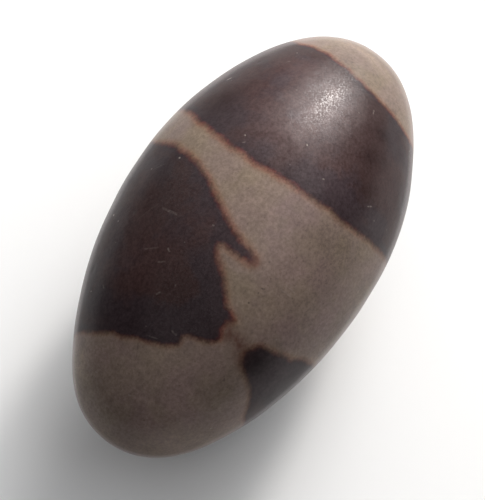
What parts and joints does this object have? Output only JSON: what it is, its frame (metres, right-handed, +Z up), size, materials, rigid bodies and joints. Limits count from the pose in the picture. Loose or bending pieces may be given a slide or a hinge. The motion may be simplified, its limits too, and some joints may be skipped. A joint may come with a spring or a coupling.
{
  "type": "shiva lingam stone",
  "caption": "Egg-shaped, river-worn stone with natural dark and tan bands, lying on a small flat resting spot.",
  "frame": {"origin": "on the surface the stone rests on, under the middle of its bounding box", "axes": "+X along the stone to its fuller, tan-capped end; +Z up; the stone lies on its small flat spot"},
  "size_m": [0.1048, 0.058, 0.0555],
  "materials": {
    "stone": "satin"
  },
  "bodies": {
    "root": {"stone": "stone"}
  },
  "joints": []
}
